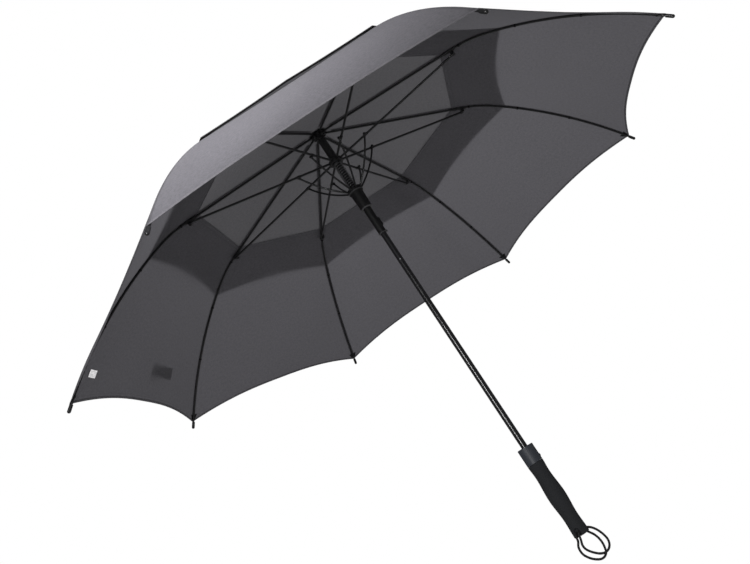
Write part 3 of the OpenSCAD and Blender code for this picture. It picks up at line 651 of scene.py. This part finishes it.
@dataclass
class Sector:
    """One cloth's sector on a rib, which the sheets of cloth are laid on."""

    line: RibLine
    rib: int
    rise: ClothRise
    keep: float
    slot: Slot
    seam_half: float = 0.0045
    seam_share: float = 0.35
    seam_under: float = 0.0002
    seam_grid: tuple[int, int] = (60, 5)
    crowding: float = 1.35

    def columns(self, count: int) -> Array:
        """Returns places across a sector, -1 to 1, closer together at the rib, a count on each side."""
        side = np.linspace(0, 1, count + 1) ** self.crowding
        return np.concatenate([-side[:0:-1], side])

    def settle(self, obj: Object) -> None:
        """Sets a piece on the rib: it rides there.

        Args:
            obj: the piece.
        """
        angle = self.rib * 2 * HALF_GORE
        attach(obj, f"rib_{self.rib + 1}")
        f"rib_hinge_{self.rib + 1}"
        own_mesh(obj)

    def sheet(
        self, name: str, s: Array, v: Array, lift: Array | float, material: Material,
        edge: Array | float = FAR_FROM_HEM,
    ) -> Object:
        """Makes one sheet of cloth over a grid of places.

        Args:
            name: its name, without the rib's number.
            s: lengths along the rib.
            v: places across the sector.
            lift: its height over the cloth.
            material: its material.
            edge: distances to the nearest hem.

        Returns:
            The object.
        """
        s, v, edge = np.broadcast_arrays(s, v, edge)
        points = self.line.panel(s, v, self.rise(s, v) + lift, self.rib)
        made = mesh_object(f"{name}_{self.rib + 1}", points, grid_faces(*s.shape), material)
        across = np.hypot(points[..., 0], points[..., 1]) * v * HALF_GORE
        lay_uv(made, cloth=(across, s), edge=(edge, v))
        self.settle(made)
        return made

    def seam(self, name: str, start: float, stop: float, material: Material) -> Object:
        """Makes the seam allowance under the rib's seam.

        Args:
            name: its name, without the rib's number.
            start: where it starts along the rib.
            stop: where it stops.
            material: its material.

        Returns:
            The object.
        """
        rows, cols = self.seam_grid
        s = np.linspace(start, stop, rows)[:, None]
        half = self.line.half_gore(s)
        v = np.linspace(-1, 1, cols) * np.minimum(self.seam_half, self.seam_share * half) / half
        return self.sheet(name, s, v, -self.seam_under, material)

    def roll(self, name: str, end: HemLine, roll: Roll, material: Material) -> Object:
        """Makes the flat roll of cloth or binding round a hem.

        Args:
            name: its name, without the rib's number.
            end: gives the length along the rib at which the cloth ends.
            roll: its section.
            material: its material.

        Returns:
            The object.
        """
        v = self.columns(roll.columns)
        turns = np.linspace(0, math.tau, roll.sides)[:, None]
        s = end(v) + roll.inset + roll.half * np.cos(turns)
        return self.sheet(name, s, v, roll.lift + roll.thick / 2 * np.sin(turns), material)

    def declare(self, cloth: Object, node: str, cut: Pair, sewn: list[Object]) -> None:
        """Hides the CAD node that a sheet of cloth stands for.

        Args:
            cloth: the sheet.
            node: the CAD node's name, without the rib's number.
            cut: the cut's width and length.
            sewn: the pieces sewn on it; not used.
        """
        area = min(float(sum(p.area for p in cloth.data.polygons)), cut[0] * cut[1])
        under = [f"rib_{self.rib + 1}"]
        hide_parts(f"{node}_{self.rib + 1}")


@dataclass(frozen=True)
class Patch:
    """A thin patch on a sector: its place, its size, its points and how far its free end curls."""

    name: str
    node: str
    slot: Slot
    rib: int
    from_hem: float
    degrees: float
    length: float
    width: float
    rise: float
    thick: float
    rows: int
    cols: int
    curl: float = 0.0


@dataclass
class Canopy:
    """The two canopies with hems, seams, a black binding that partly paints shade, ties, strap and tag."""

    line: RibLine
    finishes: Finishes
    lower_from: float = 0.313
    lower_cut: Pair = (0.53, 0.46)
    lower_rise: float = 0.0031
    lower_keep: float = 0.15
    lower_grid: tuple[int, int] = (46, 17)
    lower_hem: Roll = Roll(-0.0020, 0.0023)
    lower_top_hem: Roll = Roll(0.0016, 0.0018)
    lower_seam_short: float = 0.002
    scallop: float = 0.028
    scallop_power: float = 2.7
    sag: float = 0.004
    vent_from_s: float = 0.006
    vent_to: float = 0.434
    vent_cut: Pair = (0.36, 0.435)
    vent_rise: float = 0.0045
    vent_keep: float = 0.30
    vent_grid: tuple[int, int] = (40, 15)
    # The vent's hem roll: a black binding, partly painted shade for the gap under the vent's hem.
    vent_binding: Roll = Roll(-0.0026, 0.0038, 0.0038, 0.0013)
    vent_seam_from: float = 0.02
    vent_scallop: float = 0.016
    vent_scallop_power: float = 1.9
    vent_lift: float = 0.004
    pocket: Triple = (0.016, 0.010, 0.0035)
    pocket_points: int = 7
    pocket_under: float = 0.0004
    tie_places: Triple = (0.47, 0.63, 0.80)
    tie_turns: int = 3
    tie_pitch: float = 0.0011
    tie_radius: float = 0.00262
    tie_thread: float = 0.0005
    patch_stitch: float = 0.0065
    strap: Patch = Patch(
        "closing_strap_band", "closing_strap", Slot.STRAP, rib=5, from_hem=0.097, degrees=17.4,
        length=0.098, width=0.026, rise=0.0037, thick=0.0016, rows=9, cols=25, curl=0.006,
    )
    tag: Patch = Patch(
        "blank_tag", "sewn_tag", Slot.TAG, rib=6, from_hem=0.060, degrees=-2.8,
        length=0.020, width=0.015, rise=0.0016, thick=0.0005, rows=7, cols=9,
    )

    def __post_init__(self) -> None:
        """Works out where the cloths start and end along a rib, and makes the materials."""
        self.lower_s = self.line.reach(self.lower_from)
        self.vent_s = self.line.reach(self.vent_to)
        f = self.finishes
        self.cloth, self.vent_cloth = f.canopy.material(), f.vent.material()
        self.trim, self.binding = f.trim.material(), f.binding.material()

    def hem_at(self, v: Array) -> Array:
        """Returns the lengths along the rib at which the lower cloth ends."""
        return self.line.length - self.scallop * (1 - (1 - np.abs(v)) ** self.scallop_power)

    def vent_hem_at(self, v: Array) -> Array:
        """Returns the lengths along the rib at which the vent cloth ends."""
        return self.vent_s - self.vent_scallop * (1 - (1 - np.abs(v)) ** self.vent_scallop_power)

    def dip(self, s: Array, v: Array) -> Array:
        """Returns how far the tight cloth draws in between two ribs."""
        share = np.clip(s / self.line.length, 0, 1) ** 2
        return self.sag * share * (1 - (1 - np.abs(v)) ** 2)

    def lower_height(self, s: Array, v: Array) -> Array:
        """Returns the rises of the lower cloth over the rib's line."""
        return self.lower_rise - self.dip(s, v)

    def vent_height(self, s: Array, v: Array) -> Array:
        """Returns the rises of the vent cloth over the rib's line, which lifts between the ribs."""
        share = np.clip((s - self.line.inner / 2) / (self.vent_s - self.line.inner / 2), 0, 1.1)
        return self.vent_rise + self.vent_lift * np.abs(v) ** 1.5 * share - self.dip(s, v)

    def lower_sector(self, rib: int) -> None:
        """Makes the lower cloth's sector on a rib, with its hems, seam and corner pocket.

        Args:
            rib: the rib's number, from 0.
        """
        part = Sector(self.line, rib, self.lower_height, self.lower_keep, Slot.CANOPY)
        rows, side = self.lower_grid
        v = part.columns(side)
        end = self.hem_at(v)
        s = self.lower_s + (end - self.lower_s) * np.linspace(0, 1, rows)[:, None]
        edge = np.minimum(end - s, s - self.lower_s)
        cloth = part.sheet("lower_sheet", s, v, 0.0, self.cloth, edge)
        part.declare(cloth, "lower_cloth", self.lower_cut, [
            part.roll("lower_hem", self.hem_at, self.lower_hem, self.trim),
            part.roll("lower_top_hem", lambda _: self.lower_s, self.lower_top_hem, self.cloth),
            part.seam("lower_seam", self.lower_s, self.line.length - self.lower_seam_short, self.trim),
            self.corner(part),
        ])

    def vent_sector(self, rib: int) -> None:
        """Makes a vent sector on a rib, with its seam and a black binding that partly paints shade.

        Args:
            rib: the rib's number, from 0.
        """
        part = Sector(self.line, rib, self.vent_height, self.vent_keep, Slot.VENT)
        rows, side = self.vent_grid
        v = part.columns(side)
        end = self.vent_hem_at(v)
        s = self.vent_from_s + (end - self.vent_from_s) * np.linspace(0, 1, rows)[:, None]
        cloth = part.sheet("vent_sheet", s, v, 0.0, self.vent_cloth, end - s)
        part.declare(cloth, "vent_cloth", self.vent_cut, [
            # A black binding round the vent's hem, which also paints the shade in the gap under it.
            part.roll("vent_binding", self.vent_hem_at, self.vent_binding, self.binding),
            part.seam("vent_seam", self.vent_seam_from, self.vent_s, self.trim),
        ])

    def corner(self, part: Sector) -> Object:
        """Makes the black pocket that holds a sector's corner to the rib's cap.

        Args:
            part: the sector.

        Returns:
            The object.
        """
        (depth, top, tip), points = self.pocket, self.pocket_points
        s = (self.line.length - np.linspace(depth, 0.0, points))[:, None]
        wide = np.linspace(top, tip, points)[:, None]
        v = np.linspace(-1, 1, points) * wide / self.line.half_gore(s)
        s = np.minimum(s, self.hem_at(v))
        return part.sheet("corner_pocket", s, v, -self.pocket_under, self.binding)

    def ties(self, rib: int) -> None:
        """Makes the thread ties that hold the lower cloth to its rib.

        Args:
            rib: the rib's number, from 0.
        """
        around, ring = 20, 6
        a, b = circle(around)[None, :, None], circle(ring)[:, None, None]
        wide = self.tie_radius + self.tie_thread * np.cos(b)
        loops, faces = [], []
        for place in self.tie_places:
            for turn in range(self.tie_turns):
                s = self.line.length * place + self.tie_pitch * (turn - (self.tie_turns - 1) / 2)
                slope = self.line.slope_at(s)
                flat = self.line.at(s, 0.0) + self.tie_thread * np.sin(b) * self.line.along(slope)
                flat = flat + wide * np.sin(a) * self.line.across(slope) + (0.0, self.line.hinge_z)
                faces += grid_faces(ring, around, len(loops) * ring * around, joined=(True, True))
                loops.append(np.concatenate([flat[..., :1], wide * np.cos(a), flat[..., 1:]], axis=-1))
        spin = np.array(Matrix.Rotation(rib * 2 * HALF_GORE, 3, "Z"))
        points = np.stack(loops) @ spin.T
        made = mesh_object(f"thread_ties_{rib + 1}", points, faces, self.binding)
        far = np.full(points.shape[:-1], FAR_FROM_HEM)
        lay_uv(made, cloth=(0 * far, 0.0), edge=(far, far))
        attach(made, f"rib_{rib + 1}")

    def patch(self, patch: Patch, material: Material) -> None:
        """Makes a patch with rounded edges, laid along a sector's lower cloth.

        Args:
            patch: the patch.
            material: its material.
        """
        rows, cols, long, wide = patch.rows, patch.cols, patch.length / 2, patch.width / 2
        s_mid = self.line.length - patch.from_hem
        half = long / self.line.at(s_mid, 0.0)[0]
        across, along = np.meshgrid(np.linspace(-1, 1, cols), np.linspace(-1, 1, rows))
        s = s_mid + along * wide
        v = (math.radians(patch.degrees) + across * half) / HALF_GORE
        rise = patch.rise - self.dip(s, v) + patch.curl * ((1 + across) / 2) ** 2
        plump = (1 - np.abs(along) ** 8) ** 0.5 * (1 - np.abs(across) ** 14) ** 0.5
        points = [self.line.panel(s, v, rise + up, patch.rib) for up in (0.0, patch.thick * plump)]
        faces = grid_faces(rows, cols, flip=True) + grid_faces(rows, cols, rows * cols)
        made = mesh_object(patch.name, np.stack(points), faces, material)
        rim = np.minimum((1 - np.abs(across)) * long, (1 - np.abs(along)) * wide) + self.patch_stitch
        lay_uv(made, cloth=([across * long] * 2, [along * wide] * 2), edge=([rim] * 2, 0.0))
        Sector(self.line, patch.rib, self.lower_height, self.lower_keep, patch.slot).settle(made)
        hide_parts(patch.node)
        cut, under = (patch.length, patch.width), f"lower_sheet_{patch.rib + 1}"

    def build(self) -> None:
        """Makes every piece of the canopy."""
        for rib in range(RIBS):
            self.lower_sector(rib)
            self.vent_sector(rib)
            self.ties(rib)
        self.patch(self.strap, self.finishes.strap.material())
        self.patch(self.tag, self.finishes.tag.material())


@dataclass
class Grip:
    """The contoured foam grip with its two slots for the cord."""

    finish: FoamFinish
    half: float = 0.0725
    bore: float = 0.0111
    stations: tuple[Pair, ...] = (
        (0.0725, 0.0159), (0.0495, 0.0146), (0.0045, 0.0170), (-0.0395, 0.0142), (-0.0705, 0.0152),
    )
    top_edge: float = 0.0006
    end_edge: float = 0.002
    slot_angle: float = -math.pi / 4
    slot_half: float = 0.0050
    slot_roof: float = -0.0575
    slot_floor: float = 0.0113
    wall_over: float = 0.0009
    roof_over: float = 0.0012
    roof_flat: float = 0.002
    roof_drop: float = 0.03
    sides: int = 192
    # The rings lie closer together by the slots' roof, and the breaks are heights over it.
    ring_counts: tuple[int, ...] = (80, 14, 12)
    ring_breaks: tuple[float, ...] = (0.004, 0.0036, -0.003, -0.0036)

    def radius(self, z: Array) -> Array:
        """Radius of the grip's skin, which runs smoothly from station to station.

        Args:
            z: heights.

        Returns:
            The radii.
        """
        out = np.full_like(z, self.stations[0][1])
        for (z0, r0), (z1, r1) in zip(self.stations, self.stations[1:]):
            t = np.clip((z0 - z) / (z0 - z1), 0, 1)
            out += (r1 - r0) * (1 - np.cos(np.pi * t)) / 2
        return out

    def outline(self) -> tuple[Array, Array]:
        """Heights and radii of the grip's rings, from the top of its bore to the end.

        Returns:
            The heights and the radii.
        """
        edge, low = self.end_edge, self.end_edge - self.half
        near = [self.slot_roof + step for step in self.ring_breaks]
        stops = [self.half - self.top_edge, *near, low]
        runs = zip(stops[::2], stops[1::2], self.ring_counts)
        z = np.concatenate([np.linspace(start, stop, count) for start, stop, count in runs])
        skin = self.radius(z)
        turn = np.linspace(0, math.pi / 2, 6)[1:]
        z = np.concatenate([[self.half, self.half], z, low - edge * np.sin(turn), [-self.half]])
        top, end = [self.bore, skin[0] - self.top_edge], skin[-1] - edge + edge * np.cos(turn)
        return z, np.concatenate([top, skin, end, [self.bore]])

    def build(self) -> None:
        """Makes the grip."""
        z, skin = (values[:, None] for values in self.outline())
        angle, r = circle(self.sides), skin
        for side in (0.0, math.pi):
            turn = angle - self.slot_angle - side
            off = np.abs(np.sin(turn)) * skin
            walls = np.clip((self.slot_half - off) / self.wall_over + 0.5, 0, 1)
            arch = self.slot_roof - np.sqrt(np.clip(off - self.roof_flat, 0, None)) * self.roof_drop
            cut = walls * np.clip((arch - z) / self.roof_over + 0.5, 0, 1) * (np.cos(turn) > 0)
            r = r + (np.minimum(r, self.slot_floor) - r) * cut
        points = around_axis(r, angle, z)
        faces = grid_faces(len(z), self.sides, flip=True, joined=(False, True))
        made = mesh_object("foam_grip_skin", points, faces, self.finish.material())
        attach(made, "frame")
        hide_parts("foam_grip")


@dataclass
class Tube:
    """A round tube swept along a smooth line, which doesn't start off along the tilt."""

    radius: float
    sides: int
    tilt: Triple = (0.31, 0.52, 0.79)

    def sweep(self, name: str, line: Array, material: Material) -> Object:
        """Sweeps the tube.

        Args:
            name: the object's name.
            line: points of the centreline, close together.
            material: its material.

        Returns:
            The object.
        """
        ahead = np.gradient(line, axis=0)
        ahead /= np.linalg.norm(ahead, axis=1)[:, None]
        runs = np.concatenate([[0.0], np.cumsum(np.linalg.norm(np.diff(line, axis=0), axis=1))])
        share = np.arange(self.sides) / self.sides
        turn = math.tau * share[:, None]
        side = np.cross(ahead[0], self.tilt)
        rings = []
        for point, way in zip(line, ahead):
            side = side - way * side.dot(way)
            side /= np.linalg.norm(side)
            rings.append(point + self.radius * (np.cos(turn) * side + np.sin(turn) * np.cross(way, side)))
        last = (len(line) - 1) * self.sides
        caps = [tuple(range(self.sides - 1, -1, -1)), tuple(range(last, last + self.sides))]
        faces = grid_faces(len(line), self.sides, joined=(False, True)) + caps
        made = mesh_object(name, np.stack(rings), faces, material)
        lay_uv(made, cord=(share, runs[:, None]))
        return made


@dataclass
class WristCord:
    """The wrist cord: two loops that leave the slots in the grip's end."""

    finish: CordFinish
    diameter: float = 0.0042
    route_a: tuple[Triple, ...] = (
        (6.3, -10.2, -64.5), (9.3, -13.2, -65), (11.5, -17, -68), (12.5, -19.5, -76.5), (9, -23, -84),
        (6.5, -23.5, -92), (4, -21, -100.5), (3.5, -15, -109.5), (3.5, -7, -117), (4, 2, -122),
        (4.5, 10, -122.5), (4, 17.5, -118.5), (2, 21.5, -111), (-0.5, 24, -102.5), (-4, 24.5, -93.5),
        (-8, 23, -85), (-11.5, 19.5, -78), (-14, 16, -71.5), (-14.5, 12.5, -67), (-13, 9, -65),
        (-10.2, 6.3, -64.5),
    )
    route_b: tuple[Triple, ...] = (
        (10.2, -6.3, -64.5), (13.2, -9.3, -65), (16, -12.5, -68), (16.5, -15, -76.5), (14, -17, -85),
        (12.5, -15.5, -93), (11.5, -10.5, -100.5), (10.5, -3.5, -107.5), (9.5, 4.5, -113.5),
        (9.5, 14, -117), (9, 23.5, -115.5), (7.5, 30.5, -110), (5, 34, -102.5), (1, 34.5, -94),
        (-3, 33, -85.5), (-6.5, 30, -78), (-9, 25, -71.5), (-10.5, 19, -67.5), (-9, 13, -65),
        (-6.3, 10.2, -64.5),
    )

    @staticmethod
    def smooth(points: Array, steps: int = 8) -> Array:
        """Runs a smooth line through points.

        Args:
            points: the points.
            steps: how many pieces between two points.

        Returns:
            The line.
        """
        ends = np.concatenate([[2 * points[0] - points[1]], points, [2 * points[-1] - points[-2]]])
        t = (np.arange(steps) / steps)[:, None]
        spans = []
        for p0, p1, p2, p3 in zip(ends, ends[1:], ends[2:], ends[3:]):
            square, cube = 2 * p0 - 5 * p1 + 4 * p2 - p3, 3 * p1 - p0 - 3 * p2 + p3
            spans.append(0.5 * (2 * p1 + (p2 - p0) * t + square * t**2 + cube * t**3))
        return np.concatenate([*spans, points[-1:]])

    def build(self) -> None:
        """Makes both loops, and hides the cords they stand for."""
        material = self.finish.material()
        for name, route in (("a", self.route_a), ("b", self.route_b)):
            line = self.smooth(np.array(route, float) / 1000)
            made = Tube(self.diameter / 2, 14).sweep(f"wrist_loop_{name}", line, material)
            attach(made, "frame")
            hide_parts(f"wrist_cord_{name}")


@dataclass
class Coil:
    """The opening spring between the two runners, with closed end turns."""

    finish: PaintFinish
    box: tuple[Vector, Vector]
    mean_radius: float = 0.0085
    wire: float = 0.0024
    turns: int = 21
    steps: int = 28
    closed_pitch: float = 1.05
    keep: float = 0.602

    def build(self) -> None:
        """Makes the coil."""
        low, high = self.box[0].z + self.wire / 2, self.box[1].z - self.wire / 2
        turn = np.linspace(0, self.turns, self.turns * self.steps + 1)
        closed = self.closed_pitch * self.wire
        heights = (low, low + closed, high - closed, high)
        z = np.interp(turn, (0, 1, self.turns - 1, self.turns), heights)
        line = around_axis(self.mean_radius, math.tau * turn, z)
        made = Tube(self.wire / 2, 10).sweep("opening_coil", line, self.finish.material())
        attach(made, "lower_runner")
        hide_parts("opening_spring")
        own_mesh(made)


@dataclass
class Metalwork:
    """The CAD nodes that keep their shape, and the finish each one takes."""

    nodes: dict[str, Object]
    finishes: Finishes

    def dress(self) -> None:
        """Gives every carried-over node its material."""
        f = self.finishes
        groups = [
            (f.shaft, ["shaft_tube"]),
            (f.steel, ["shaft_pin", "lower_ring", "button_leaf"]),
            (f.wire, ["notch_ring", "upper_ring"]),
            (f.plastic, ["ferrule", "top_notch", "end_plug", "upper_runner", "catch_lever"]),
            (f.runner, ["lower_runner"]),
            (f.collar, ["handle_body"]),
            (f.button, ["push_button"]),
            (f.rib, [f"{kind}_{k + 1}" for kind in ("rib", "stretcher", "link") for k in range(RIBS)]),
        ]
        for finish, names in groups:
            material = finish.material()
            for name in names:
                for entry in self.nodes[name].material_slots:
                    entry.material = material
                LOG.info("%s wears %s", name, finish.name)


@dataclass
class Studio:
    """The camera, the lights, the floor and the world."""

    camera_at: Triple = (1.3679, -0.5861, 0.0690)
    right: Triple = (0.167056, 0.836040, -0.522617)
    down: Triple = (-0.455710, -0.404574, -0.792873)
    ahead: Triple = (-0.874311, 0.370617, 0.313406)
    lens: float = 36.858
    shift: Pair = (-0.02551, -0.03627)
    floor_z: float = -1.1
    floor_radius: float = 3.4
    fade_from: float = 1.2
    fade_over: float = 2.0
    soft_light: float = 0.89
    gloss_light: float = 0.12

    def camera(self) -> None:
        """Sets the camera at the photograph's place and angle."""
        data = bpy.data.cameras.new("camera")
        data.lens, data.sensor_width = self.lens, 36.0
        data.shift_x, data.shift_y = self.shift
        data.clip_start, data.clip_end = 0.05, 60.0
        made = bpy.data.objects.new("camera", data)
        axes = Matrix((self.right, [-x for x in self.down], [-x for x in self.ahead])).transposed()
        made.matrix_world = Matrix.Translation(self.camera_at) @ axes.to_4x4()
        bpy.context.scene.collection.objects.link(made)
        bpy.context.scene.camera = made

    @staticmethod
    def hang(name: str, kind: Lamp, at: Triple, aim: Triple, glints: bool, **settings: Any) -> None:
        """Hangs a light and points it.

        Args:
            name: its name.
            kind: its kind.
            at: where it hangs.
            aim: what it points at.
            glints: whether glossy surfaces mirror it.
            settings: its power, in watts, its size and the like.
        """
        data = bpy.data.lights.new(name, kind.value)
        for key, value in settings.items():
            setattr(data, key, value)
        made = bpy.data.objects.new(name, data)
        made.visible_glossy = glints
        made.location = at
        made.rotation_euler = (Vector(aim) - Vector(at)).to_track_quat("-Z", "Y").to_euler()
        bpy.context.scene.collection.objects.link(made)

    def lights(self) -> None:
        """Hangs a soft key light, a wide top light and the strip that glossy pieces mirror."""
        self.hang(
            "key", Lamp.SPOT, (1.65, 0.85, 1.60), (0.27, -0.53, 0.68), False,
            spot_size=math.radians(22.0), spot_blend=1.0, shadow_soft_size=0.15, energy=1500.0,
        )
        self.hang(
            "top", Lamp.AREA, (0.0, 0.75, 3.1), (0.0, 0.0, 0.8), False,
            shape="RECTANGLE", size=2.6, size_y=2.6, energy=120.0,
        )
        self.hang(
            "strip", Lamp.AREA, (1.26, -0.985, 0.38), (0.0, 0.0, 0.38), True,
            shape="RECTANGLE", size=0.13, size_y=0.72, energy=12.5,
        )

    def floor_finish(self) -> Material:
        """Builds the floor's material, which fades to white at its rim and is clear from below.

        Returns:
            The material.
        """
        g = Graph.material("pale_floor")
        place = g.place()
        x, y, _ = g.parts(place)
        rim = (((x * x + y * y) ** 0.5 - self.fade_from) / self.fade_over).clamped()
        cloud = g.noise(place, 0.8)
        colour = g.mix(cloud * 0.3, (0.80, 0.80, 0.80), (0.76, 0.76, 0.76))
        lit = g.principled({"Base Color": colour, "Roughness": 0.85 + cloud * 0.1})
        even = g.principled({
            "Base Color": (0.0, 0.0, 0.0),
            "Specular IOR Level": 0.0,
            "Emission Color": g.mix(rim, (0.84, 0.84, 0.84), WHITE),
            "Emission Strength": 1.0,
        })
        sight = g.value("ShaderNodeLightPath", output="Is Camera Ray")
        both = g.mix_shader(sight * (0.7 + rim * 0.3), lit, even)
        under = sight * g.value("ShaderNodeNewGeometry", output="Backfacing")
        return g.done(g.mix_shader(under, both, g.node("ShaderNodeBsdfTransparent")))

    def floor(self) -> None:
        """Lays the pale round floor."""
        rings, sides = 6, 48
        radii = np.linspace(0, self.floor_radius, rings + 1)[1:, None]
        disc = around_axis(radii, circle(sides), self.floor_z).reshape(-1, 3)
        points = np.concatenate([[(0.0, 0.0, self.floor_z)], disc])
        fan = [(0, 1 + j, 1 + (j + 1) % sides) for j in range(sides)]
        faces = fan + grid_faces(rings, sides, 1, True, (False, True))
        made = mesh_object("floor", points, faces, self.floor_finish())
        made.visible_glossy = False

    def world(self) -> None:
        """Sets a white world: white to the camera, softer as light and dark in gloss."""
        g = Graph(bpy.data.worlds.new("studio"))
        path = g.node("ShaderNodeLightPath")
        soft, dark, white = (
            g.node("ShaderNodeBackground", None, {"Color": WHITE, "Strength": strength})
            for strength in (self.soft_light, self.gloss_light, 1.0)
        )
        light = g.mix_shader(Val(g, path.outputs["Is Glossy Ray"]), soft, dark)
        shown = g.mix_shader(Val(g, path.outputs["Is Camera Ray"]), light, white)
        bpy.context.scene.world = g.done(shown)

    def build(self) -> None:
        """Makes the whole stage."""
        self.camera()
        self.floor()
        self.world()
        self.lights()
        bpy.context.scene.view_settings.view_transform = "Standard"


def main() -> None:
    """Loads the frame, builds the stage and every piece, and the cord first."""
    logging.basicConfig(level=logging.INFO, format="%(name)s: %(message)s")
    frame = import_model()
    joints = {joint["name"]: joint for joint in frame["joints"]}
    finishes = Finishes()
    Studio().build()
    WristCord(finishes.cord).build()
    Canopy(RibLine(joints["rib_hinge_1"]["pos_m"][2]), finishes).build()
    Grip(finishes.foam).build()
    Coil(finishes.spring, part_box("opening_spring")).build()
    Metalwork(frame["nodes"], finishes).dress()


if __name__ == "__main__":
    main()
